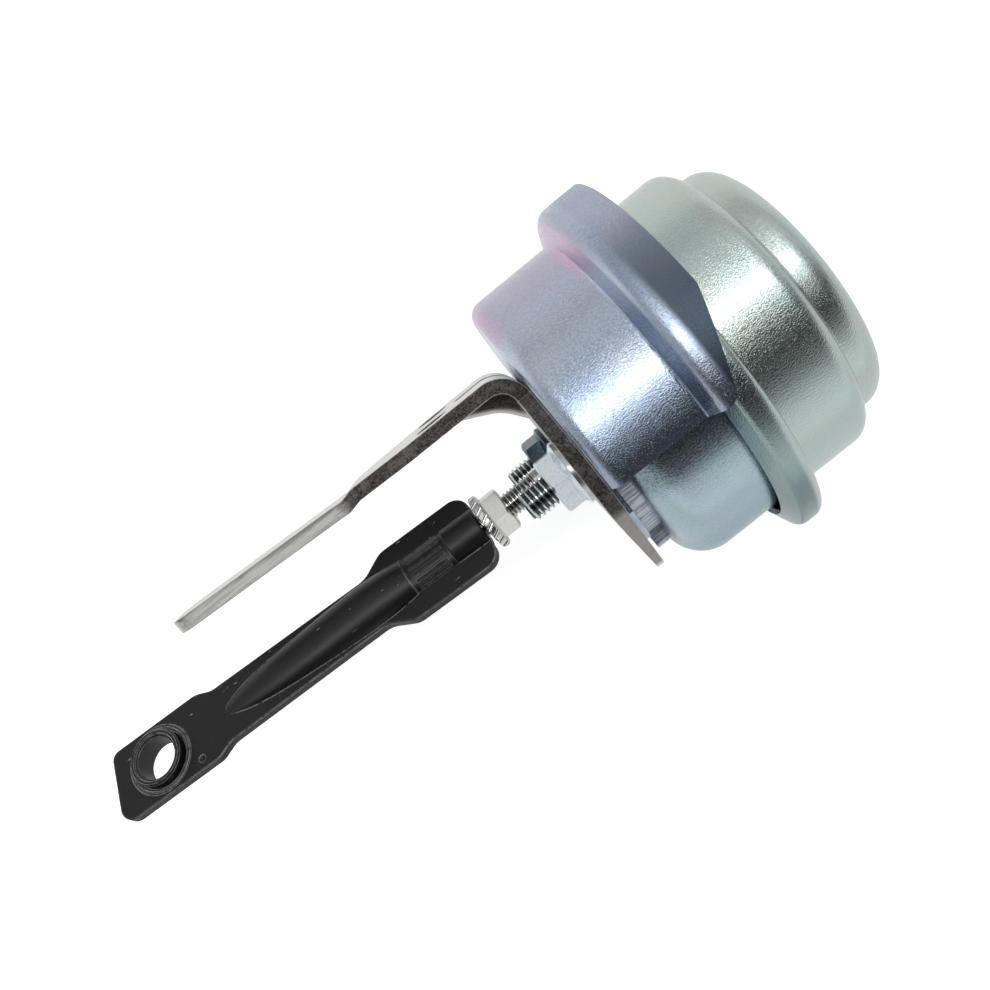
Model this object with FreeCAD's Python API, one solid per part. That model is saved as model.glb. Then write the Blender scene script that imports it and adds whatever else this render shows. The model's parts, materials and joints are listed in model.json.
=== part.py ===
import FreeCAD, Part
import math
import os

# Diaphragm actuator that moves a lever at an exhaust turbine housing.
# All lengths are in millimetres.
# The sub-parts are drawn about the rod: +X runs out along the rod, zero is the
# bracket plate's outer face. The last step moves them to the stored frame, whose
# origin is midway between the two bolt holes, on the outer face of the bracket arm.

os.makedirs("parts", exist_ok=True)
V = FreeCAD.Vector
X_AXIS = V(1, 0, 0)
Y_AXIS = V(0, 1, 0)
Z_AXIS = V(0, 0, 1)

# Driving sizes
can_radius = 29.6
can_sheet = 1.0
bracket_sheet = 2.6
shield_sheet = 0.9
spacer_thickness = 2.5
stud_radius = 3.0
stud_offset = 14.0
rod_radius = 2.5
link_turn = 42.0
link_start = 19.2
eye_x = 92.9
link_lean = 2.6
eye_bore_radius = 4.0
arm_outer_y = -20.9
bolt_x = 14.0
bolt_spacing = 13.0

# Clearances
running = 0.05
thread_gap = 0.02
press_gap = 0.02
bolt_gap = 0.3
seat_gap = 0.1
soft_gap = 0.25

# The clamped stack behind the bracket plate, from front to back
plate_back = -bracket_sheet
shield_back = plate_back - shield_sheet
can_front = shield_back - spacer_thickness
can_front_inside = can_front - can_sheet

# The crimped joint of the two cans
front_flange_x = -26.0
front_flange_back = front_flange_x - can_sheet
bead_thickness = 1.6
rear_flange_x = front_flange_back - bead_thickness
rear_flange_back = rear_flange_x - can_sheet
flange_radius = can_radius + 4.5
crimp_gap = 0.3
crimp_radius = flange_radius + crimp_gap + can_sheet

# The stepped rear can
shoulder_x = -44.8
cap_radius = 25.7
cap_back = -51.9
cap_inside = cap_back + can_sheet

# The moving pack on the rod's inner end
stop_thickness = 2.2
backing_front = can_front_inside - stop_thickness
backing_thickness = 1.2
diaphragm_front = backing_front - backing_thickness
diaphragm_sheet = 1.0
cup_front = diaphragm_front - diaphragm_sheet
cup_sheet = 0.8
cup_inside = cup_front - cup_sheet
cup_radius = 20.0
cup_back = -24.0
rivet_radius = 1.9


def tangent_corner(before, corner, after, radius):
    """Return the start, middle and end of the arc that rounds a corner."""
    to_before = (before - corner).normalize()
    to_after = (after - corner).normalize()
    half = to_before.getAngle(to_after) / 2
    reach = radius / math.tan(half)
    middle_line = (to_before + to_after).normalize()
    centre = corner + middle_line * (radius / math.sin(half))
    start = corner + to_before * reach
    end = corner + to_after * reach
    middle = centre - middle_line * radius
    return start, middle, end


def rounded_face(corners, at):
    """Make a face from corners (u, v) or (u, v, radius); at(u, v) gives the point."""
    points = [at(c[0], c[1]) for c in corners]
    radii = [c[2] if len(c) > 2 else 0 for c in corners]
    count = len(points)
    edges = []
    first = None
    last = None
    for i in range(count):
        if radii[i] > 0:
            start, middle, end = tangent_corner(
                points[i - 1], points[i], points[(i + 1) % count], radii[i])
        else:
            start = end = points[i]
        if last is not None and last.distanceToPoint(start) > 1e-6:
            edges.append(Part.makeLine(last, start))
        if radii[i] > 0:
            edges.append(Part.Arc(start, middle, end).toShape())
        if first is None:
            first = start
        last = end
    if last.distanceToPoint(first) > 1e-6:
        edges.append(Part.makeLine(last, first))
    return Part.Face(Part.Wire(edges))


def side_view(u, v):
    return V(u, v, 0)


def plate_view(u, v):
    return V(0, u, v)


def top_view(u, v):
    return V(u, 0, v)


def spun(corners):
    """Revolve a section of (x, radius) corners about the rod's axis."""
    return rounded_face(corners, side_view).revolve(V(0, 0, 0), X_AXIS, 360)


def rod_along_x(radius, start, end, y=0, z=0):
    return Part.makeCylinder(radius, end - start, V(start, y, z), X_AXIS)


def ring_along_x(outer, inner, start, end):
    return rod_along_x(outer, start, end).cut(rod_along_x(inner, start, end))


def stud_holes(radius, start, end):
    """The two stud holes, as cylinders to cut away."""
    near = rod_along_x(radius, start, end, z=stud_offset)
    far = rod_along_x(radius, start, end, z=-stud_offset)
    return near.fuse(far)


def hex_prism(across_flats, start, end, turn=0):
    corner_radius = across_flats / 2 / math.cos(math.radians(30))
    corners = []
    for i in range(6):
        angle = math.radians(60 * i + turn)
        corners.append((corner_radius * math.cos(angle), corner_radius * math.sin(angle)))
    face = rounded_face(corners, plate_view)
    face.translate(V(start, 0, 0))
    return face.extrude(V(end - start, 0, 0))


def chamfered_hex(across_flats, start, end, turn):
    """A hexagon whose corners are turned down by a cone at its outer end."""
    corner_radius = across_flats / 2 / math.cos(math.radians(30))
    turned_radius = across_flats * 0.48
    slope = (corner_radius - turned_radius) * math.tan(math.radians(30))
    body = hex_prism(across_flats, start, end, turn)
    envelope = spun([(start, 0), (start, corner_radius),
                     (end - slope, corner_radius), (end, turned_radius), (end, 0)])
    return body.common(envelope)


# The two pressed cans

bush_body_radius = 4.2


def make_front_can():
    corner = 7.5
    can = spun([
        (can_front, bush_body_radius),
        (can_front, can_radius, corner),
        (front_flange_x, can_radius, 1.2),
        (front_flange_x, flange_radius),
        (front_flange_back, flange_radius),
        (front_flange_back, can_radius - can_sheet, 2.2),
        (can_front_inside, can_radius - can_sheet, corner - can_sheet),
        (can_front_inside, bush_body_radius)])
    can = can.cut(stud_holes(stud_radius + press_gap, can_front_inside - 1, can_front + 1))
    vent_x = -18.0
    vent_radius = 1.5
    for angle in (155, 205):
        vent = Part.makeCylinder(vent_radius, can_radius + 2, V(vent_x, 0, 0), Z_AXIS)
        vent.rotate(V(vent_x, 0, 0), X_AXIS, angle)
        can = can.cut(vent)
    return can


nipple_x = -36.0
nipple_radius = 2.75
nipple_bore = 1.75
nipple_end = can_radius + 17.4
nipple_collar_radius = 4.4
nipple_collar_end = can_radius + 2.2


def make_rear_can():
    inner = can_radius - can_sheet
    cap_inner = cap_radius - can_sheet
    lip_height = 4.1
    lip_lean = 1.8
    lip_knee = V(front_flange_x + 0.8, crimp_radius, 0)
    lip_tip = V(lip_knee.x + lip_lean, crimp_radius - lip_height, 0)
    lip_line = (lip_tip - lip_knee).normalize()
    inward = V(lip_line.y, -lip_line.x, 0)
    if inward.x > 0:
        inward = inward * -1
    lip_under = lip_tip + inward * can_sheet
    crimp_inner = crimp_radius - can_sheet
    back_along = (crimp_inner - lip_under.y) / lip_line.y
    knee_under = lip_under + lip_line * back_along
    can = spun([
        (cap_back, 0),
        (cap_back, cap_radius, 4.6),
        (shoulder_x, cap_radius, 0.6),
        (shoulder_x, can_radius, 3.2),
        (rear_flange_back, can_radius, 1.0),
        (rear_flange_back, crimp_radius, 1.6),
        (lip_knee.x, lip_knee.y, 1.2),
        (lip_tip.x, lip_tip.y),
        (lip_under.x, lip_under.y),
        (knee_under.x, knee_under.y, 0.3),
        (rear_flange_x, crimp_inner, 0.6),
        (rear_flange_x, inner, 2.0),
        (shoulder_x + can_sheet, inner, 2.2),
        (shoulder_x + can_sheet, cap_inner, 1.6),
        (cap_inside, cap_inner, 3.6),
        (cap_inside, 0)])
    hole = Part.makeCylinder(nipple_radius + press_gap, nipple_end, V(nipple_x, 0, 0), Z_AXIS * -1)
    return can.cut(hole)


def make_hose_nipple():
    down = Z_AXIS * -1
    inner_end = can_radius - can_sheet - 1.0
    tube = Part.makeCylinder(nipple_radius, nipple_end - inner_end, V(nipple_x, 0, -inner_end), down)
    collar = Part.makeCylinder(nipple_collar_radius, nipple_collar_end - inner_end,
                               V(nipple_x, 0, -inner_end), down)
    collar = collar.cut(rod_along_x(can_radius, nipple_x - 10, nipple_x + 10))
    nipple = tube.fuse(collar).removeSplitter()
    bore = Part.makeCylinder(nipple_bore, nipple_end, V(nipple_x, 0, 0), down)
    nipple = nipple.cut(bore)
    outer_rim = [e for e in nipple.Edges
                 if abs(e.BoundBox.ZMin + nipple_end) < 1e-6
                 and abs(e.BoundBox.ZMax + nipple_end) < 1e-6
                 and e.BoundBox.XLength > 2 * nipple_bore + 0.1]
    return nipple.makeChamfer(0.4, outer_rim)


# The heat shield, a half cup with a stepped rim

spacer_radius = stud_offset + 5.6


def make_heat_shield():
    body_radius = can_radius + 2.3
    rim_radius = crimp_radius + 1.7
    rim_back = rear_flange_back - 1.6
    step_x = front_flange_x + 5.2
    hole_radius = 8.0
    cup = spun([
        (plate_back, hole_radius),
        (plate_back, body_radius, 3.0),
        (step_x, body_radius, 0.8),
        (step_x - 2.2, rim_radius, 2.7),
        (rim_back, rim_radius),
        (rim_back, rim_radius - shield_sheet),
        (step_x - 2.6, rim_radius - shield_sheet, 1.9),
        (step_x - 0.7, body_radius - shield_sheet, 1.6),
        (shield_back, body_radius - shield_sheet, 2.1),
        (shield_back, hole_radius)])
    side_cut_y = 3.6
    far_side = -40.0
    keep = rounded_face([
        (1, far_side), (1, side_cut_y), (-25.2, side_cut_y, 2.5),
        (rim_back - 0.1, -14.0, 2.0), (rim_back - 0.1, far_side)], side_view)
    keep.translate(V(0, 0, -40))
    keep = keep.extrude(V(0, 0, 80))
    tongue_radius = spacer_radius + 0.8
    tongue = ring_along_x(tongue_radius, hole_radius, shield_back, plate_back)
    tongue = tongue.common(Part.makeBox(10, 30, 34, V(-8, 0, -17)))
    shield = cup.common(keep).fuse(tongue).removeSplitter()
    return shield.cut(stud_holes(stud_radius + bolt_gap, -10, 2))


seal_radius = 6.2


def make_spacer():
    bore = seal_radius + running
    lug_half_width = 2.2
    lug_reach = spacer_radius + 3.8
    disc = ring_along_x(spacer_radius, bore, can_front, shield_back)
    lug = rounded_face([(bore + 5, -lug_half_width), (lug_reach, -lug_half_width, 1.2),
                        (lug_reach, lug_half_width, 1.2), (bore + 5, lug_half_width)], plate_view)
    lug.translate(V(can_front, 0, 0))
    disc = disc.fuse(lug.extrude(V(spacer_thickness, 0, 0))).removeSplitter()
    return disc.cut(stud_holes(stud_radius + 0.15, can_front - 1, shield_back + 1))


# The bracket: a two-lug plate, a bend with a pressed gusset, and a tapered arm

def make_bracket():
    bend_outer = 6.0
    bend_inner = bend_outer - bracket_sheet
    arm_inner_y = arm_outer_y + bracket_sheet
    joggle_x = 32.0
    joggle_run = 3.0
    joggle_rise = 0.7
    finger_end = 73.6
    finger_slope = math.tan(math.radians(3.0))
    finger_y = arm_outer_y + joggle_rise
    finger_drop = (finger_end - joggle_x - joggle_run) * finger_slope
    plate_tip = 26.0
    knee = joggle_x + joggle_run
    tip_loss = 1.1
    thinned_from = 11.0
    side = rounded_face([
        (plate_back, plate_tip),
        (plate_back, arm_outer_y, bend_outer),
        (joggle_x, arm_outer_y, 4.0),
        (knee, finger_y, 4.0),
        (finger_end, finger_y - finger_drop, 1.0),
        (finger_end, finger_y - finger_drop + bracket_sheet, 1.0),
        (knee, finger_y + bracket_sheet, 4.0),
        (joggle_x, arm_inner_y, 4.0),
        (0, arm_inner_y, bend_inner),
        (0, thinned_from, 60.0),
        (-tip_loss, plate_tip, 0.8)], side_view)
    side.translate(V(0, 0, -25))
    strip = side.extrude(V(0, 0, 50))

    neck = 14.0
    lug = 7.2
    bend_y = arm_outer_y + bend_outer
    outline = rounded_face([
        (bend_y, -neck), (-5.0, -stud_offset - lug, 7.0), (8.0, -stud_offset - lug, 8.0),
        (plate_tip, -3.2, 5.0), (plate_tip, 3.2, 5.0),
        (8.0, stud_offset + lug, 8.0), (-5.0, stud_offset + lug, 7.0), (bend_y, neck)], plate_view)
    outline.translate(V(-10, 0, 0))
    plate = strip.common(outline.extrude(V(10.0, 0, 0)))

    finger_half = 5.6
    arm_half = 12.5
    arm_view = rounded_face([
        (plate_back - 1, -neck), (4.0, -neck, 6.0), (21.0, -arm_half, 8.0),
        (37.0, -finger_half, 12.0), (finger_end, -finger_half, 5.0),
        (finger_end, finger_half, 5.0), (37.0, finger_half, 12.0),
        (21.0, arm_half, 8.0), (4.0, neck, 6.0), (plate_back - 1, neck)], top_view)
    arm_view.translate(V(0, -40, 0))
    arm = strip.common(arm_view.extrude(V(0, 40 + bend_y, 0)))

    # Pressed gusset: a rounded rib inside the bend and its dent outside
    gusset_half = 4.4
    reach_arm = 12.5
    reach_plate = 9.0
    sunk = 0.5
    rib = rounded_face([
        (-sunk, arm_inner_y - sunk), (reach_arm, arm_inner_y - sunk),
        (3.4, arm_inner_y + 4.0, 9.0), (-sunk, arm_inner_y + reach_plate)], side_view)
    rib.translate(V(0, 0, -gusset_half))
    rib = rib.extrude(V(0, 0, 2 * gusset_half))
    crest = [e for e in rib.Edges if e.BoundBox.ZLength < 1e-6
             and e.BoundBox.XLength > 1.0 and e.BoundBox.YLength > 0.5]
    rib = rib.makeFillet(3.0, crest)
    dent_half = 1.7
    dent = rounded_face([
        (plate_back - 2, arm_outer_y + 8.5), (plate_back - 2, arm_outer_y - 2),
        (10.0, arm_outer_y - 2), (9.0, arm_outer_y), (1.2, arm_outer_y + 4.4, 3.0),
        (plate_back, arm_outer_y + 8.0)], side_view)
    dent.translate(V(0, 0, -dent_half))
    dent = dent.extrude(V(0, 0, 2 * dent_half))

    bracket = plate.fuse([arm, rib]).removeSplitter().cut(dent)
    rod_hole_radius = 6.5
    bracket = bracket.cut(rod_along_x(rod_hole_radius, -5, 1))
    bracket = bracket.cut(stud_holes(stud_radius + bolt_gap, -5, 1))
    for side_z in (-0.5, 0.5):
        hole = Part.makeCylinder(stud_radius + bolt_gap, 10,
                                 V(bolt_x, arm_outer_y - 3, side_z * bolt_spacing), Y_AXIS)
        bracket = bracket.cut(hole)
    return bracket


# Studs and their flanged nuts

stud_end = 10.3


def make_stud(z):
    head_radius = 4.6
    head_back = can_front_inside - 1.6
    tip = 0.7
    stud = spun([
        (head_back, 0), (head_back, head_radius, 0.4), (can_front_inside, head_radius),
        (can_front_inside, stud_radius), (stud_end - tip, stud_radius),
        (stud_end, stud_radius - tip), (stud_end, 0)])
    stud.translate(V(0, 0, z))
    return stud


def make_flange_nut(z, turn):
    flange_radius_out = 6.3
    flange_rim = 0.7
    flange_top = 1.7
    nut_top = 4.9
    across_flats = 10.0
    flange = spun([
        (0, 0), (0, flange_radius_out - 0.2), (flange_rim, flange_radius_out),
        (flange_top, across_flats / 2 + 0.1), (flange_top, 0)])
    nut = flange.fuse(chamfered_hex(across_flats, flange_top - 0.9, nut_top, turn)).removeSplitter()
    bore = stud_radius + thread_gap
    mouth = spun([(nut_top - 0.5, 0), (nut_top - 0.5, bore), (nut_top + 0.01, bore + 0.5),
                  (nut_top + 0.01, 0)])
    nut = nut.cut(rod_along_x(bore, -1, nut_top + 1)).cut(mouth)
    nut.translate(V(0, 0, z))
    return nut


# The rod's guide and seal

def make_guide_bush():
    flange_back = can_front_inside - 1.4
    flange_out = 6.6
    return spun([
        (can_front, rod_radius + running), (can_front, bush_body_radius - press_gap),
        (can_front_inside, bush_body_radius - press_gap), (can_front_inside, flange_out),
        (flange_back, flange_out, 0.4), (flange_back, rod_radius + running)])


def make_rod_seal():
    outer = seal_radius
    lip_x = shield_back - 0.4
    root = can_front
    bore = rod_radius + running
    return spun([
        (root, bore), (root, outer), (shield_back, outer), (shield_back, outer - 1.6),
        (lip_x - 1.0, outer - 2.4, 0.3), (lip_x, bore + 1.0), (lip_x, bore)])


def make_stop_ring():
    inner = 7.0
    outer = 9.1
    return spun([
        (can_front_inside, inner), (can_front_inside, outer),
        (backing_front, outer, 0.8), (backing_front, inner, 0.8)])


# The rod and the pack riveted to its inner end

washer_thickness = 1.2
washer_back = cup_inside - washer_thickness
rod_end = link_start + 8.5


def make_rod():
    head = 1.3
    tip = 0.6
    return spun([
        (washer_back - head, 0), (washer_back - head, rivet_radius + 1.6, 0.9),
        (washer_back, rivet_radius + 1.6), (washer_back, rivet_radius),
        (backing_front, rivet_radius), (backing_front, rod_radius),
        (rod_end - tip, rod_radius), (rod_end, rod_radius - tip), (rod_end, 0)])


def make_backing_plate():
    radius = 19.0
    return spun([
        (backing_front, rivet_radius), (backing_front, radius, 0.9),
        (diaphragm_front, radius), (diaphragm_front, rivet_radius)])


def make_diaphragm():
    bore = rivet_radius + soft_gap
    fit = cup_radius + soft_gap
    wrap = fit + diaphragm_sheet
    fold_front = -31.0
    fold_back = fold_front - diaphragm_sheet
    wall_gap = 0.4
    leg = can_radius - can_sheet - wall_gap - diaphragm_sheet
    clamp_inner = flange_radius - 3.2
    web_back = front_flange_back - diaphragm_sheet
    return spun([
        (diaphragm_front, bore),
        (diaphragm_front, wrap, 4.0),
        (fold_front, wrap, 3.0),
        (fold_front, leg, 3.0),
        (front_flange_back, leg, 0.8),
        (front_flange_back, flange_radius),
        (rear_flange_x, flange_radius, 0.8),
        (rear_flange_x, clamp_inner),
        (web_back, clamp_inner),
        (web_back, leg + diaphragm_sheet, 0.4),
        (fold_back, leg + diaphragm_sheet, 4.0),
        (fold_back, fit, 4.0),
        (cup_front, fit, 3.0),
        (cup_front, bore)])


def make_piston_cup():
    return spun([
        (cup_front, rivet_radius), (cup_front, cup_radius, 3.0),
        (cup_back, cup_radius), (cup_back, cup_radius - cup_sheet),
        (cup_inside, cup_radius - cup_sheet, 2.2), (cup_inside, rivet_radius)])


def make_rivet_washer():
    return ring_along_x(7.0, rivet_radius, washer_back, cup_inside)


# The return spring and its seat in the rear can

seat_thickness = 1.0
spring_back = cap_inside + seat_thickness
wire_radius = 1.2
coil_radius = 14.0


def make_return_spring():
    turns = 5
    length = cup_inside - spring_back - 2 * wire_radius - 2 * seat_gap
    helix = Part.makeHelix(length / turns, length, coil_radius)
    arcs = 6
    step = 360 / arcs
    middle = V(coil_radius, 0, 0)
    section = Part.Wire([
        Part.makeCircle(wire_radius, middle, Y_AXIS, step * i, step * (i + 1)) for i in range(arcs)])
    spring = Part.Wire(helix).makePipeShell([section], True, True)
    spring.rotate(V(0, 0, 0), Y_AXIS, 90)
    spring.translate(V(spring_back + wire_radius + seat_gap, 0, 0))
    return spring


def make_spring_seat():
    inner = 9.5
    outer = 18.0
    upstand = 11.5
    return spun([
        (cap_inside, inner), (cap_inside, outer), (spring_back, outer),
        (spring_back, upstand + 1.0, 0.4), (spring_back + 3.0, upstand + 1.0, 0.4),
        (spring_back + 3.0, upstand), (spring_back, upstand), (spring_back, inner)])


# The lock nut and the toothed washer that hold the link on the rod

washer_start = link_start - 2.5
washer_end = link_start - 0.7


def make_lock_nut():
    nut_start = link_start - 5.9
    across_flats = 8.0
    nut = chamfered_hex(across_flats, -washer_start, -nut_start, 30)
    nut.rotate(V(0, 0, 0), Y_AXIS, 180)
    return nut.cut(rod_along_x(rod_radius + thread_gap, nut_start - 1, washer_start + 1))


def make_spring_washer():
    outer = 5.5
    teeth = 20
    notch_radius = 0.45
    notch_lean = 30
    washer = spun([
        (washer_start, rod_radius + 0.15), (washer_start, outer - 1.0),
        (washer_start + 0.3, outer, 0.3), (washer_end - 0.2, outer, 0.3),
        (washer_end, outer - 0.8), (washer_end, rod_radius + 0.15)])
    middle = V((washer_start + washer_end) / 2, outer + 0.1, 0)
    for i in range(teeth):
        notch = Part.makeCylinder(notch_radius, 6, middle - V(3, 0, 0), X_AXIS)
        notch.rotate(middle, Y_AXIS, notch_lean)
        notch.rotate(V(0, 0, 0), X_AXIS, 360 * i / teeth)
        washer = washer.cut(notch)
    return washer


# The link: a pressed bar with a hollow rib over the rod's end and a bushed eye

bar_half = 1.0
bush_outer = 5.4
bush_half_length = 3.0


def ellipse_at(x, half_width, half_height):
    """An ellipse across the link, wide along Y and high along Z."""
    curve = Part.Ellipse(V(x, half_width, 0), V(x, 0, half_height), V(x, 0, 0))
    return Part.Wire(curve.toShape())


def lay_link(shape):
    """Turn a shape drawn flat about the rod, then lean it from the rod's line at the link's mouth."""
    shape.rotate(V(0, 0, 0), X_AXIS, link_turn)
    shape.rotate(V(link_start, 0, 0), Z_AXIS, -link_lean)


def make_link():
    head_half = 8.3
    head_end = link_start + 18.9
    waist_start = head_end + 4.9
    waist_half = 5.45
    waist_end = eye_x - 14.0
    waist_end_half = 5.8
    eye_start = eye_x - 10.8
    eye_half = 7.25
    upper_end = eye_x + 9.0
    lower_end = eye_x + 11.4
    outline = rounded_face([
        (link_start, -head_half, 3.2), (head_end, -head_half, 4.0),
        (waist_start, -waist_half, 5.0), (waist_end, -waist_end_half, 4.0),
        (eye_start, -eye_half, 4.0), (upper_end, -eye_half, 1.8),
        (lower_end, eye_half, 3.0), (eye_start, eye_half, 3.0),
        (waist_end, waist_end_half, 4.0), (waist_start, waist_half, 5.0),
        (head_end, head_half, 4.0), (link_start, head_half, 3.2)], side_view)
    outline.translate(V(0, 0, -bar_half))
    bar = outline.extrude(V(0, 0, 2 * bar_half))
    rims = [e for e in bar.Edges if e.BoundBox.ZLength < 0.01]
    bar = bar.makeFillet(0.25, rims)

    boss_radius = 4.1
    crimp_start = link_start + 7.2
    crimp_end = crimp_start + 9.0
    crimp_width = 4.2
    crimp_height = 2.95
    rib_point = eye_x - 13.6
    boss = rod_along_x(boss_radius, link_start, crimp_start)
    boss = boss.makeFillet(0.5, [e for e in boss.Edges if e.BoundBox.XLength < 0.01])
    crimp = Part.Face(ellipse_at(crimp_start - 2.0, crimp_width, crimp_height))
    crimp = crimp.extrude(V(crimp_end - crimp_start + 3.0, 0, 0))
    rib = Part.makeLoft([
        ellipse_at(crimp_end, 4.3, 3.5),
        ellipse_at(crimp_end + 2.0, 4.6, 3.9),
        ellipse_at(crimp_end + 20.0, 4.6, 3.7),
        ellipse_at(crimp_end + 33.0, 3.6, 2.6),
        ellipse_at(rib_point, 0.9, 0.55)], True, False)

    collar_outer = 6.55
    collar_groove = 0.55
    collar_half = bar_half + 0.3
    collar = Part.makeCylinder(collar_outer, 2 * collar_half, V(eye_x, 0, -collar_half), Z_AXIS)
    rims = [e for e in collar.Edges if e.BoundBox.ZLength < 0.01]
    collar = collar.makeFillet(0.2, rims)
    link = bar.fuse([boss, crimp, rib, collar]).removeSplitter()
    link = link.cut(Part.makeCylinder(bush_outer, 10, V(eye_x, 0, -5), Z_AXIS))
    groove_floor = bar_half - 0.2
    for side in (groove_floor, -collar_half):
        link = link.cut(Part.makeCylinder(bush_outer + collar_groove, collar_half - groove_floor,
                                          V(eye_x, 0, side), Z_AXIS))

    # Grooves pressed side by side into the crimp
    grooves = 7
    groove_radius = 0.3
    groove_length = 7.0
    spread = 120
    for i in range(grooves):
        angle = math.radians(-spread / 2 + spread * i / (grooves - 1))
        place = V(crimp_start + 1.0, crimp_width * math.sin(angle), crimp_height * math.cos(angle))
        link = link.cut(Part.makeCylinder(groove_radius, groove_length, place, X_AXIS))
    dimple_x = eye_x - 7.6
    link = link.cut(Part.makeSphere(1.0, V(dimple_x, 5.2, bar_half + 0.7)))
    lay_link(link)
    return link.cut(rod_along_x(rod_radius + thread_gap, link_start - 1, rod_end + 0.8))


def make_eye_bush():
    flat = bush_half_length
    edge = 0.35
    bore = eye_bore_radius
    step = bore + 0.5
    recess = 0.3
    section = rounded_face([
        (bore, -flat + recess + edge), (bore + edge, -flat + recess), (step, -flat + recess),
        (step, -flat), (bush_outer - edge, -flat), (bush_outer, -flat + edge),
        (bush_outer, flat - edge), (bush_outer - edge, flat), (step, flat),
        (step, flat - recess), (bore + edge, flat - recess), (bore, flat - recess - edge)], top_view)
    bush = section.revolve(V(0, 0, 0), Z_AXIS, 360)
    bush.translate(V(eye_x, 0, 0))
    lay_link(bush)
    return bush


sub_parts = {
    "front_can": make_front_can(),
    "rear_can": make_rear_can(),
    "hose_nipple": make_hose_nipple(),
    "heat_shield": make_heat_shield(),
    "spacer_disc": make_spacer(),
    "mounting_bracket": make_bracket(),
    "stud_near": make_stud(stud_offset),
    "stud_far": make_stud(-stud_offset),
    "flange_nut_near": make_flange_nut(stud_offset, 36),
    "flange_nut_far": make_flange_nut(-stud_offset, 22),
    "guide_bush": make_guide_bush(),
    "rod_seal": make_rod_seal(),
    "stop_ring": make_stop_ring(),
    "actuator_rod": make_rod(),
    "backing_plate": make_backing_plate(),
    "diaphragm": make_diaphragm(),
    "piston_cup": make_piston_cup(),
    "rivet_washer": make_rivet_washer(),
    "return_spring": make_return_spring(),
    "spring_seat": make_spring_seat(),
    "lock_nut": make_lock_nut(),
    "spring_washer": make_spring_washer(),
    "link_bar": make_link(),
    "eye_bush": make_eye_bush(),
}

to_stored_frame = V(-bolt_x, -arm_outer_y, 0)
for name, shape in sub_parts.items():
    shape.translate(to_stored_frame)
    shape.exportStep("parts/" + name + ".step")
    box = shape.BoundBox
    print(name, shape.isValid(), len(shape.Solids), round(shape.Volume, 1),
          [round(v, 2) for v in (box.XMin, box.XMax, box.YMin, box.YMax, box.ZMin, box.ZMax)])
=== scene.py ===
import json
import math

import bpy
from mathutils import Matrix, Vector


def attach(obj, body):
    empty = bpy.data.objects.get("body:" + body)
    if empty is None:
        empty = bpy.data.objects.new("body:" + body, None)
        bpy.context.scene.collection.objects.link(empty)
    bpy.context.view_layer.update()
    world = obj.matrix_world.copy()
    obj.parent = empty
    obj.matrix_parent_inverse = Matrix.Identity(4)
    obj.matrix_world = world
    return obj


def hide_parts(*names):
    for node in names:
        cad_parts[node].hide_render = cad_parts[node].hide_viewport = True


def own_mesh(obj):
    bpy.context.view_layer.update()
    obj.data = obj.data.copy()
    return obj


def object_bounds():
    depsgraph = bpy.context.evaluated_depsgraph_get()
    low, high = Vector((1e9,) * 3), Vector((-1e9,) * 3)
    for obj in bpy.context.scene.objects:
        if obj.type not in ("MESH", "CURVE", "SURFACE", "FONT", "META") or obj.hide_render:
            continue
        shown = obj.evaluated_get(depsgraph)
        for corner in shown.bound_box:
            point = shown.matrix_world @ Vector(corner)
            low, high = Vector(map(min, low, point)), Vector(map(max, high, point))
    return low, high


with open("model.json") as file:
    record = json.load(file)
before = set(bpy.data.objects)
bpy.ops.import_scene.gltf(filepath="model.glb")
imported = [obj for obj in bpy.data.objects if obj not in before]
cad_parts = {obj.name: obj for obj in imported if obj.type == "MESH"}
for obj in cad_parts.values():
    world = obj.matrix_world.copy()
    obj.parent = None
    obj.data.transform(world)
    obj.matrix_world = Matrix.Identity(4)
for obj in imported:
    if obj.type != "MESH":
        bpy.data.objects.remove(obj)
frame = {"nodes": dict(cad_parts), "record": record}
solids_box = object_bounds()


# Rear can
# A deep-drawn steel cup with a stepped back, zinc plated and clear passivated, so it is bright with a
# faint green-yellow cast and a fine grain. Its rim is rolled over the front can's flange in a press.

mm = 0.001
rod_height = frame["record"]["mounts"][2]["pos_m"][1]


class Value:
    """One output of a material's nodes, so that shader maths reads as plain sums."""

    def __init__(self, finish, socket):
        self.finish = finish
        self.socket = socket

    def _math(self, operation, first, second=None, clamp=False):
        links = {0: first}
        if second is not None:
            links[1] = second
        settings = {"operation": operation, "use_clamp": clamp}
        return self.finish.node("ShaderNodeMath", settings, links)

    def __add__(self, other):
        return self._math("ADD", self, other)

    def __radd__(self, other):
        return self._math("ADD", other, self)

    def __sub__(self, other):
        return self._math("SUBTRACT", self, other)

    def __rsub__(self, other):
        return self._math("SUBTRACT", other, self)

    def __mul__(self, other):
        return self._math("MULTIPLY", self, other)

    def __rmul__(self, other):
        return self._math("MULTIPLY", other, self)

    def __truediv__(self, other):
        return self._math("DIVIDE", self, other)

    def __abs__(self):
        return self._math("ABSOLUTE", self)

    def power(self, exponent):
        return self._math("POWER", self, exponent)

    def clamped(self):
        return self._math("ADD", self, 0.0, clamp=True)

    def between(self, low, high):
        """0 at low and below, 1 at high and above, smooth between."""
        settings = {"interpolation_type": "SMOOTHSTEP"}
        links = {0: self, 1: low, 2: high, 3: 0.0, 4: 1.0}
        return self.finish.node("ShaderNodeMapRange", settings, links)


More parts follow.
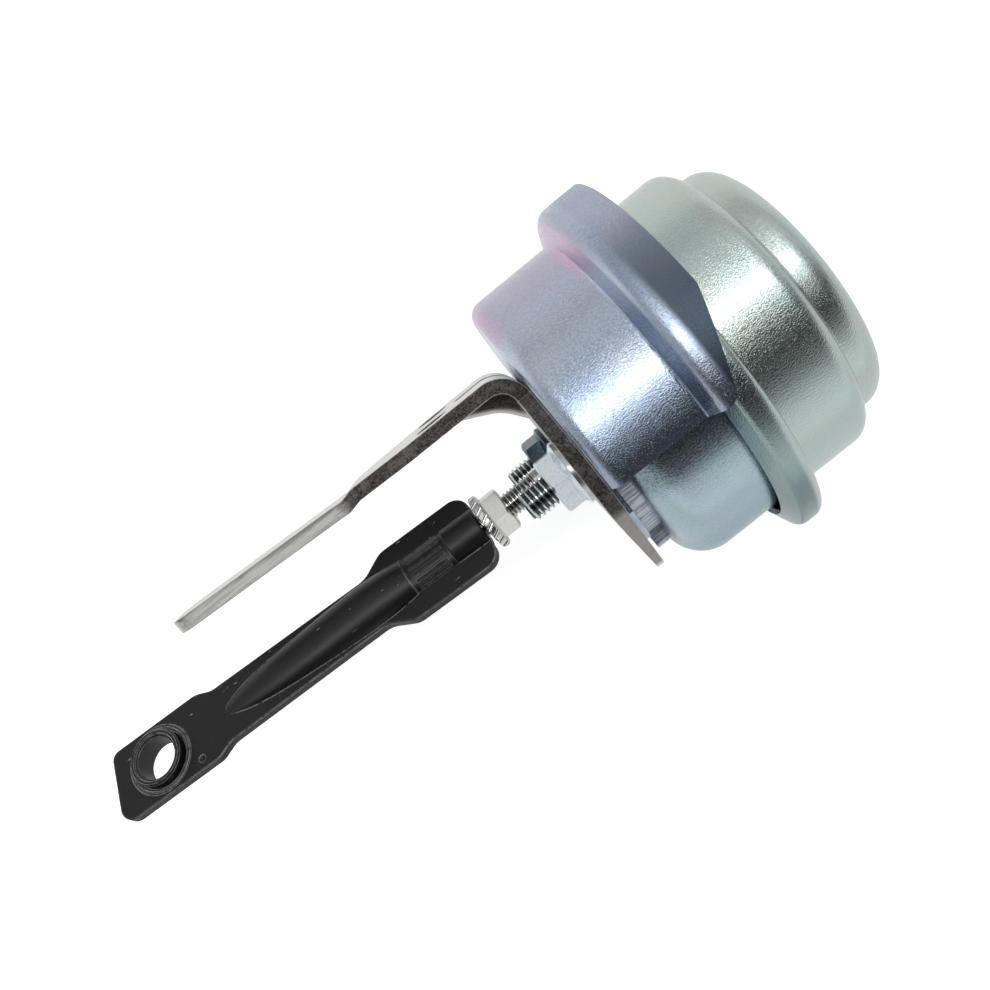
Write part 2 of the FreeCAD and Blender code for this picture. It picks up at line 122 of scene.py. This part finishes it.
class Finish:
    """A material made of nodes, with one principled shader."""

    def __init__(self, name):
        self.material = bpy.data.materials.new(name)
        self.material.use_nodes = True
        self.tree = self.material.node_tree
        self.shader = self.tree.nodes["Principled BSDF"]

    def link(self, value, socket):
        if isinstance(value, Value):
            self.tree.links.new(value.socket, socket)
        else:
            socket.default_value = value

    def node(self, kind, settings, links, output=0):
        """Add a node: its settings first, then the values or links of its sockets."""
        made = self.tree.nodes.new(kind)
        for name, setting in settings.items():
            if name == "stops":
                ramp = made.color_ramp
                for place, colour in setting[1:-1]:
                    ramp.elements.new(place).color = colour
                ramp.elements[0].position, ramp.elements[0].color = setting[0]
                ramp.elements[-1].position, ramp.elements[-1].color = setting[-1]
            else:
                setattr(made, name, setting)
        for name, value in links.items():
            self.link(value, made.inputs[name])
        return Value(self, made.outputs[output])

    def place(self):
        """The point on the surface, in metres, in the part's own frame."""
        return self.node("ShaderNodeTexCoord", {}, {}, "Object")

    def facing(self):
        """The surface's own outward direction."""
        return self.node("ShaderNodeTexCoord", {}, {}, "Normal")

    def worn_edges(self, width):
        """1 along outer edges and small fillets, 0 on open faces."""
        rounded = self.node("ShaderNodeBevel", {"samples": 4}, {"Radius": width})
        true = self.node("ShaderNodeNewGeometry", {}, {}, "Normal")
        same = self.node("ShaderNodeVectorMath", {"operation": "DOT_PRODUCT"}, {0: rounded, 1: true}, "Value")
        return (1.0 - same).between(0.01, 0.12)

    def split(self, vector):
        parts = self.tree.nodes.new("ShaderNodeSeparateXYZ")
        self.tree.links.new(vector.socket, parts.inputs[0])
        return [Value(self, parts.outputs[i]) for i in range(3)]

    def noise(self, vector, per_metre, detail, roughness):
        links = {"Vector": vector, "Scale": per_metre, "Detail": detail, "Roughness": roughness}
        return self.node("ShaderNodeTexNoise", {}, links, "Fac")

    def stretched(self, vector, x, y, z):
        """The same place, squeezed along each axis, for grain that runs one way."""
        links = {0: vector, 1: (x, y, z)}
        return self.node("ShaderNodeVectorMath", {"operation": "MULTIPLY"}, links)

    def mix(self, amount, first, second):
        """A colour between two others."""
        settings = {"data_type": "RGBA", "clamp_factor": True}
        return self.node("ShaderNodeMix", settings, {0: amount, 6: first, 7: second}, 2)

    def bump(self, height, depth):
        links = {"Height": height, "Distance": depth, "Strength": 1.0}
        return self.node("ShaderNodeBump", {}, links)

    def set(self, **inputs):
        for name, value in inputs.items():
            self.link(value, self.shader.inputs[name.replace("_", " ")])

    def on(self, *names):
        """Give this finish to CAD nodes."""
        for name in names:
            solid = frame["nodes"][name]
            solid.data.materials.clear()
            solid.data.materials.append(self.material)


def zinc_grain(finish, spacing, depth):
    """The fine orange-peel of bright zinc on drawn steel, as a bump."""
    place = finish.place()
    pits = finish.noise(place, 1 / spacing, 2.0, 0.6).between(0.36, 0.64)
    return finish.bump(pits, depth)


def can_zinc():
    finish = Finish("can_zinc")
    place = finish.place()
    x, y, _ = finish.split(place)
    cloud = finish.noise(place, 45, 3.0, 0.55).between(0.38, 0.64)
    speck = finish.noise(place, 2900, 2.0, 0.7).between(0.46, 0.66)
    green = (0.48, 0.58, 0.565, 1)
    straw = (0.52, 0.58, 0.54, 1)
    dark = (0.20, 0.24, 0.23, 1)
    darker_lip = (0.27, 0.36, 0.37, 1)
    shaded = (0.14, 0.20, 0.21, 1)
    lip = x.between(-42.5 * mm, -41.5 * mm)
    far_side = (y - rod_height).between(16 * mm, 26 * mm)
    body = finish.mix(cloud * 0.7, green, straw)
    # The lip is darker, and shade is painted into it on the side away from the bracket's arm.
    body = finish.mix(lip * (0.75 + 0.25 * far_side), body, darker_lip)
    body = finish.mix(lip * far_side * 0.7, body, shaded)
    finish.set(
        Base_Color=finish.mix(speck * 0.15, body, dark),
        Metallic=1.0,
        Roughness=0.13 + 0.04 * speck + 0.03 * cloud,
        Normal=zinc_grain(finish, 0.24 * mm, 0.019 * mm))
    return finish


can_zinc().on("rear_can", "hose_nipple")


# Front can
# The other drawn steel cup of the housing, zinc plated with a bluer film than the rear one. Shade is
# painted into its colour on the side away from the bracket's arm and in a band beside the shield's edge.

def front_can_zinc():
    finish = Finish("front_can_zinc")
    place = finish.place()
    _, y, _ = finish.split(place)
    cloud = finish.noise(place, 60, 3.0, 0.55).between(0.35, 0.65)
    speck = finish.noise(place, 2900, 2.0, 0.7).between(0.46, 0.66)
    teal = (0.40, 0.54, 0.57, 1)
    violet = (0.42, 0.50, 0.59, 1)
    shaded = (0.20, 0.34, 0.39, 1)
    near_black = (0.08, 0.11, 0.12, 1)
    dark = (0.14, 0.19, 0.21, 1)
    # Painted shade: darker on the side away from the bracket's arm, and near black beside the shield's edge.
    far_side = (y - rod_height).between(20 * mm, 27 * mm)
    shield_edge_shade = 1.0 - (y - rod_height).between(7.5 * mm, 11.5 * mm)
    body = finish.mix(far_side, finish.mix(cloud, teal, violet), shaded)
    body = finish.mix(shield_edge_shade * (0.4 + 0.5 * speck), body, near_black)
    finish.set(
        Base_Color=finish.mix(speck * 0.2, body, dark),
        Metallic=1.0,
        Roughness=0.17 + 0.06 * speck,
        Normal=zinc_grain(finish, 0.24 * mm, 0.014 * mm))
    return finish


front_can_zinc().on("front_can")


# Heat shield
# Thin steel pressed into a half cup with a stepped rim, blue passivated zinc. The blue film is
# uneven. It turns violet on the bracket arm's side, and pink in the step and at the front corner there.
# The back of the rim is dark grey, and shade is painted into the side away from the arm.

def shield_zinc():
    finish = Finish("shield_zinc")
    place = finish.place()
    x, y, z = finish.split(place)
    cloud = finish.noise(place, 70, 3.0, 0.6).between(0.35, 0.65)
    speck = finish.noise(place, 2600, 2.0, 0.75).between(0.42, 0.64)
    blue = (0.36, 0.44, 0.56, 1)
    steel = (0.43, 0.48, 0.57, 1)
    pale = (0.72, 0.76, 0.86, 1)
    violet = (0.47, 0.42, 0.53, 1)
    pink = (0.68, 0.42, 0.60, 1)
    shaded = (0.22, 0.33, 0.40, 1)
    near_black = (0.04, 0.053, 0.068, 1)
    dark = (0.08, 0.11, 0.18, 1)
    arm_side = (rod_height - y).between(22 * mm, 30 * mm)
    far_side = (y - rod_height).between(19 * mm, 25 * mm)
    swept = (rod_height - y).between(13 * mm, 20 * mm) - (rod_height - y).between(22 * mm, 28 * mm)
    rim = 1.0 - x.between(-37.5 * mm, -36.5 * mm)
    rim_back = 1.0 - x.between(-40.2 * mm, -38.6 * mm)
    step = x.between(-36.6 * mm, -35.8 * mm) - x.between(-34.5 * mm, -33 * mm)
    corner = x.between(-20 * mm, -18 * mm)
    flush = arm_side * (step + corner).clamped() * (0.4 + 0.6 * cloud)
    film = finish.mix(cloud, blue, steel)
    film = finish.mix(swept * (0.5 - 0.5 * rim), film, pale)
    film = finish.mix(far_side, film, shaded)
    film = finish.mix(arm_side * (0.75 - 0.6 * rim), film, violet)
    film = finish.mix(flush * 0.8, film, pink)
    film = finish.mix(rim_back * z.between(22 * mm, 36.5 * mm), film, near_black)
    finish.set(
        Base_Color=finish.mix(speck * 0.22, film, dark),
        Metallic=1.0,
        Roughness=0.14 + 0.04 * speck + 0.2 * rim_back,
        Normal=zinc_grain(finish, 0.22 * mm, 0.014 * mm))
    return finish


shield_zinc().on("heat_shield")


# Spacer disc
# A thick steel washer, stamped from sheet, plated and clamped between shield and can. Only its
# sheared rim shows, with fine lines across it.

def spacer_edge():
    finish = Finish("spacer_edge")
    place = finish.place()
    bluish = (0.62, 0.68, 0.74, 1)
    line = (0.32, 0.36, 0.41, 1)
    lines = finish.noise(finish.stretched(place, 0.12, 1, 1), 1700, 2.0, 0.6).between(0.4, 0.62)
    finish.set(
        Base_Color=finish.mix(lines, bluish, line),
        Metallic=0.55,
        Roughness=0.42 + 0.1 * lines,
        Normal=finish.bump(lines, 0.03 * mm))
    return finish


spacer_edge().on("spacer_disc")


# Mounting bracket
# Thick bare steel strip, sheared, bent and pressed. The rolled faces are bright. The sheared edge
# is torn and dark from the plate to the joggle, and dressed smooth and pale beyond it.

def bracket_steel():
    finish = Finish("bracket_steel")
    place = finish.place()
    x, y, _ = finish.split(place)
    _, _, normal_z = finish.split(finish.facing())
    edge = abs(normal_z).between(0.55, 0.85)
    torn = finish.noise(place, 3000, 4.0, 0.75).between(0.42, 0.60)
    patch = finish.noise(place, 420, 3.0, 0.6).between(0.48, 0.66)
    rolled = finish.noise(finish.stretched(place, 0.1, 1, 1), 900, 2.0, 0.6)
    streak = finish.noise(finish.stretched(place, 0.06, 1, 1), 1500, 3.0, 0.65).between(0.4, 0.62)
    dressed = x.between(19 * mm, 23 * mm)
    arm_slope = 0.052
    depth = y + arm_slope * x
    upper = 1.0 - depth.between(1.9 * mm, 2.7 * mm)
    bright = (0.72, 0.71, 0.69, 1)
    dull = (0.58, 0.57, 0.56, 1)
    brown = (0.13, 0.115, 0.105, 1)
    black = (0.012, 0.011, 0.010, 1)
    grey = (0.28, 0.26, 0.245, 1)
    silver = (0.80, 0.79, 0.77, 1)
    pale = (0.58, 0.58, 0.56, 1)
    dark = (0.20, 0.20, 0.19, 1)
    face = finish.mix(rolled, bright, dull)
    sheared = finish.mix(torn, brown, black)
    sheared = finish.mix(patch * 0.35, sheared, grey)
    sheared = finish.mix(finish.worn_edges(0.26 * mm), sheared, silver)
    smooth = finish.mix(streak * 0.5 + upper * 0.4, pale, dark)
    finish.set(
        Base_Color=finish.mix(edge, face, finish.mix(dressed, sheared, smooth)),
        Metallic=1.0 - 0.45 * edge,
        Roughness=0.28 + 0.06 * rolled + edge * (0.14 + 0.12 * torn),
        Normal=finish.bump(edge * torn * (1.0 - dressed * 0.8) + 0.12 * rolled, 0.06 * mm))
    return finish


bracket_steel().on("mounting_bracket")


# Studs
# Steel studs with a rolled M6 thread, pressed into the can and plated. The thread runs from under
# the nut to a chamfered end, so the solid stud is exchanged for one with a real thread.

def fastener_zinc(name, light, dark, roughness, thread=None):
    """Plated steel. A thread is given as its outer radius and how far its axis is from the rod's."""
    finish = Finish(name)
    place = finish.place()
    wear = finish.noise(place, 1500, 3.0, 0.65).between(0.45, 0.68)
    if thread:
        radius, side = thread
        _, y, z = finish.split(place)
        up = y - rod_height
        across = abs(z) - side
        from_axis = (up * up + across * across).power(0.5)
        shade = 1.0 - from_axis.between(radius - 0.6 * mm, radius - 0.1 * mm)
    else:
        shade = finish.worn_edges(0.16 * mm) * 0.6
    body = finish.mix(wear * 0.1, light, dark)
    finish.set(
        Base_Color=finish.mix(shade, body, dark),
        Metallic=1.0,
        Roughness=roughness + 0.06 * wear,
        Normal=finish.bump(wear, 0.003 * mm))
    return finish


ring_points = 48


def turned(rows, name, finish, side):
    """A closed round piece along X, to one side of the rod's line, from rings of places and radii."""
    count = ring_points
    crease = math.radians(28)
    points = []
    for row in rows:
        for j, (along, radius) in enumerate(row):
            angle = 2 * math.pi * j / count
            points.append((along, rod_height + radius * math.cos(angle), side + radius * math.sin(angle)))
    faces = []
    for i in range(len(rows) - 1):
        for j in range(count):
            after = (j + 1) % count
            faces.append((i * count + j, i * count + after, (i + 1) * count + after, (i + 1) * count + j))
    faces.append(tuple(reversed(range(count))))
    faces.append(tuple(range((len(rows) - 1) * count, len(rows) * count)))
    mesh = bpy.data.meshes.new(name)
    mesh.from_pydata(points, [], faces)
    mesh.materials.append(finish.material)
    mesh.shade_smooth()
    mesh.set_sharp_from_angle(angle=crease)
    body = bpy.data.objects.new(name, mesh)
    bpy.context.collection.objects.link(body)
    return body


def thread_rows(start, end, radius, pitch, tip):
    """Rings of a right-hand thread. Each point's radius follows its own phase on the helix."""
    per_pitch = 10
    depth = 0.6 * pitch
    flank_slope = 3.2
    root_flat = 0.3
    rows = []
    steps = round((end - start) / pitch * per_pitch)
    for i in range(steps + 1):
        along = start + (end - start) * i / steps
        row = []
        for j in range(ring_points):
            phase = ((along - start) / pitch - j / ring_points) % 1.0
            flank = min(1.0, max(0.0, flank_slope * abs(phase - 0.5) - root_flat))
            cut = depth * (1.0 - flank)
            limit = radius - max(0.0, tip - (end - along))
            row.append((along, min(radius - cut, limit)))
        rows.append(row)
    return rows


def plain_row(along, radius):
    return [(along, radius)] * ring_points


def threaded_stud(name, side):
    head_radius = 4.6 * mm
    head_back = -22.6 * mm
    head_front = -21.0 * mm
    thread_start = -9.6 * mm
    stud_end = -3.7 * mm
    pitch = 1.0 * mm
    tip = 0.7 * mm
    rows = [plain_row(head_back, head_radius), plain_row(head_front, head_radius),
            plain_row(head_front, stud_radius), plain_row(thread_start, stud_radius)]
    rows += thread_rows(thread_start, stud_end, stud_radius, pitch, tip)
    stud = turned(rows, "threaded_" + name, stud_zinc, side * stud_offset)
    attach(stud, "housing")
    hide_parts(name)


stud_radius = 3.0 * mm
stud_offset = 14 * mm
stud_zinc = fastener_zinc(
    "stud_zinc", (0.68, 0.72, 0.72, 1), (0.09, 0.11, 0.11, 1), 0.16, (stud_radius, stud_offset))
threaded_stud("stud_near", 1)
threaded_stud("stud_far", -1)


# Flange nuts
# Pressed steel M6 nuts with a turned flange, screwed down on the bracket's plate. The near one is
# bright zinc, the far one has a dark blue film.

fastener_zinc("bright_zinc", (0.73, 0.79, 0.83, 1), (0.18, 0.20, 0.22, 1), 0.16).on("flange_nut_near")
fastener_zinc("blue_zinc", (0.07, 0.11, 0.13, 1), (0.02, 0.03, 0.04, 1), 0.2).on("flange_nut_far")


# Lock nut and toothed washer
# A small pressed steel M5 nut, dull zinc, jammed against a toothed washer at the link's mouth. Both
# keep the link from turning on the rod's thread.

dull_zinc = fastener_zinc("dull_zinc", (0.68, 0.68, 0.66, 1), (0.17, 0.17, 0.17, 1), 0.22)
dull_zinc.on("lock_nut", "spring_washer")


# Rod
# Ground steel rod, plated. Its outer half has a rolled M5 thread that carries the nut and the link,
# and its inner end is turned down and riveted over the piston's washer.

def threaded_rod():
    radius = 2.5 * mm
    neck = 1.9 * mm
    rivet = 3.5 * mm
    rivet_crown = 2.6 * mm
    rivet_back = -28.6 * mm
    rivet_front = -27.4 * mm
    shoulder = -23.2 * mm
    thread_start = -7.5 * mm
    rod_end = 13.7 * mm
    pitch = 0.8 * mm
    tip = 0.6 * mm
    rows = [plain_row(rivet_back, rivet_crown), plain_row(rivet_back + 0.5 * mm, rivet),
            plain_row(rivet_front, rivet), plain_row(rivet_front, neck), plain_row(shoulder, neck),
            plain_row(shoulder, radius), plain_row(thread_start, radius)]
    rows += thread_rows(thread_start, rod_end, radius, pitch, tip)
    finish = fastener_zinc("rod_steel", (0.66, 0.66, 0.64, 1), (0.10, 0.10, 0.10, 1), 0.14, (radius, 0))
    rod = turned(rows, "threaded_rod", finish, 0)
    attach(rod, "rod")
    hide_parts("actuator_rod")


threaded_rod()


# Link and its eye bush
# A pressed steel bar with a hollow rib over the rod's end, blacked and oiled, with a turned bush
# pressed into the eye. Raised edges are rubbed grey.

def black_oxide(name, base, rub, edge):
    finish = Finish(name)
    place = finish.place()
    speck = finish.noise(place, 2300, 3.0, 0.7).between(0.55, 0.74)
    cloud = finish.noise(place, 120, 3.0, 0.6)
    x, y, _ = finish.split(place)
    bare = (0.62, 0.62, 0.61, 1)
    crimp = x.between(11.5 * mm, 12.5 * mm) - x.between(21 * mm, 22 * mm)
    crimp = crimp * (1.0 - abs(y - rod_height).between(4.2 * mm, 5.5 * mm))
    scratch = finish.noise(finish.stretched(place, 0.25, 1.6, 0.25), 1100, 3.0, 0.6).between(0.70, 0.73)
    rubbed = finish.worn_edges(edge) * finish.noise(place, 900, 3.0, 0.6).between(0.25, 0.55)
    rubbed = rubbed * (1.0 - 0.8 * crimp)
    body = finish.mix(speck * 0.3, base, rub)
    finish.set(
        Base_Color=finish.mix((rubbed * 0.85 + scratch * 0.4).clamped(), body, bare),
        Metallic=0.2 + 0.6 * rubbed,
        Roughness=0.34 + 0.14 * cloud,
        Normal=finish.bump(speck * 0.5 + cloud, 0.02 * mm),
        Specular_IOR_Level=0.45)
    return finish


black_oxide("black_oxide", (0.004, 0.0045, 0.0045, 1), (0.04, 0.04, 0.04, 1), 0.4 * mm).on("link_bar")
black_oxide("eye_oxide", (0.007, 0.007, 0.007, 1), (0.05, 0.05, 0.05, 1), 0.2 * mm).on("eye_bush")


# Inside the can
# The diaphragm, its plates, the spring and the bush are closed in and only need plain finishes.
# The spring and the diaphragm can't follow the rod as rigid solids, so each is a copy fixed to the housing.

def inner(name, colour, metallic, roughness):
    finish = Finish(name)
    grime = (0.1, 0.1, 0.1, 1)
    tone = finish.noise(finish.place(), 400, 2.0, 0.6)
    finish.set(
        Base_Color=finish.mix(tone * 0.5, colour, grime),
        Metallic=metallic,
        Roughness=roughness)
    return finish


inner("inner_rubber", (0.03, 0.03, 0.03, 1), 0.0, 0.7).on("diaphragm", "rod_seal", "stop_ring")
inner("inner_steel", (0.6, 0.6, 0.6, 1), 1.0, 0.4).on(
    "backing_plate", "piston_cup", "rivet_washer", "spring_seat", "return_spring")
inner("bush_metal", (0.72, 0.58, 0.36, 1), 1.0, 0.35).on("guide_bush")


def flattening(name, node):
    """A copy of a CAD node, fixed to the housing in the node's place, with the node hidden."""
    solid = frame["nodes"][node]
    piece = bpy.data.objects.new(name, solid.data.copy())
    piece.matrix_world = solid.matrix_world
    bpy.context.collection.objects.link(piece)
    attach(piece, "housing")
    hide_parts(node)
    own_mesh(piece)


flattening(
    "coiled_spring", "return_spring")
flattening(
    "rolling_diaphragm", "diaphragm")


# Floor
# A plain white table under the part. It glows a little of itself, so it stays white where the part
# doesn't shade it, and the shadow stays soft.

def plain_floor():
    height = solids_box[0][2] - 1 * mm
    reach = 3.0
    mesh = bpy.data.meshes.new("floor")
    corners = [(x * reach, y * reach, height) for x, y in [(-1, -1), (1, -1), (1, 1), (-1, 1)]]
    mesh.from_pydata(corners, [], [(0, 1, 2, 3)])
    floor = bpy.data.objects.new("floor", mesh)
    bpy.context.collection.objects.link(floor)
    finish = Finish("floor_white")
    seen = finish.node("ShaderNodeLightPath", {}, {}, "Is Camera Ray")
    mirrored = finish.node("ShaderNodeLightPath", {}, {}, "Is Glossy Ray")
    in_metal = finish.mix(mirrored, (0, 0, 0, 1), (0.2, 0.2, 0.2, 1))
    glow = finish.mix(seen, in_metal, (0.67, 0.67, 0.67, 1))
    white = (0.9, 0.9, 0.9, 1)
    finish.set(Base_Color=white, Roughness=0.9, Emission_Color=glow, Emission_Strength=1.0)
    mesh.materials.append(finish.material)


plain_floor()


# Light and camera
# A pale room with a dark stretch of ceiling and one long softbox over the part, seen from the
# photograph's own viewpoint, nearly straight above the studs.

class Room(Finish):
    """The world's own nodes, used like a finish's."""

    def __init__(self):
        world = bpy.data.worlds.new("room")
        bpy.context.scene.world = world
        world.use_nodes = True
        self.tree = world.node_tree

    def light(self, stops):
        """Grey levels by the angle from overhead, in degrees, positive towards +Y."""
        direction = self.node("ShaderNodeTexCoord", {}, {}, "Generated")
        _, y, z = self.split(direction)
        angle = self.node("ShaderNodeMath", {"operation": "ARCTAN2"}, {0: y, 1: z})
        turn = angle / (2 * math.pi) + 0.5
        places = [(degrees / 360 + 0.5, (level, level, level, 1)) for degrees, level in stops]
        level = self.node("ShaderNodeValToRGB", {"stops": places}, {0: turn})
        self.link(level, self.tree.nodes["Background"].inputs[0])


Room().light([
    (-180, 0.54), (-100, 0.53), (-88, 0.63), (-76, 0.48), (-62, 0.78), (-50, 0.82), (-38, 0.72),
    (-10, 0.7), (-4, 0.3), (3, 0.09), (20, 0.045), (34, 0.05), (43, 0.1), (52, 0.42), (60, 0.86),
    (90, 1.1), (180, 1.1)])


def softbox(name, angle, distance, length, width, power):
    """A soft lamp over the rod's line, tipped by angle from overhead towards +Y."""
    lamp = bpy.data.lights.new(name, "AREA")
    lamp.shape = "RECTANGLE"
    lamp.size = length
    lamp.size_y = width
    lamp.energy = power
    body = bpy.data.objects.new(name, lamp)
    bpy.context.collection.objects.link(body)
    way = Vector((0, math.sin(math.radians(angle)), math.cos(math.radians(angle))))
    body.location = way * distance
    body.rotation_euler = (-math.radians(angle), 0, 0)


softbox("key", angle=-18.5, distance=0.7, length=1.0, width=0.16, power=2.5)


def photo_camera():
    """The photograph's viewpoint, solved from the round edges of the cans and the line of the studs."""
    across = Vector((-0.77690, 0.62802, 0.04495))
    down = Vector((0.62707, 0.76535, 0.14496))
    ahead = Vector((0.05664, 0.14081, -0.98842))
    eye = Vector((-11.6, -10.4, 197.9)) * mm
    data = bpy.data.cameras.new("camera")
    data.lens = 40.0
    data.sensor_width = 36.0
    data.clip_start = 0.01
    camera = bpy.data.objects.new("camera", data)
    bpy.context.collection.objects.link(camera)
    turn = Matrix((across, -down, -ahead)).transposed()
    camera.matrix_world = Matrix.Translation(eye) @ turn.to_4x4()
    bpy.context.scene.camera = camera


photo_camera()

bpy.context.scene.view_settings.view_transform = "Standard"
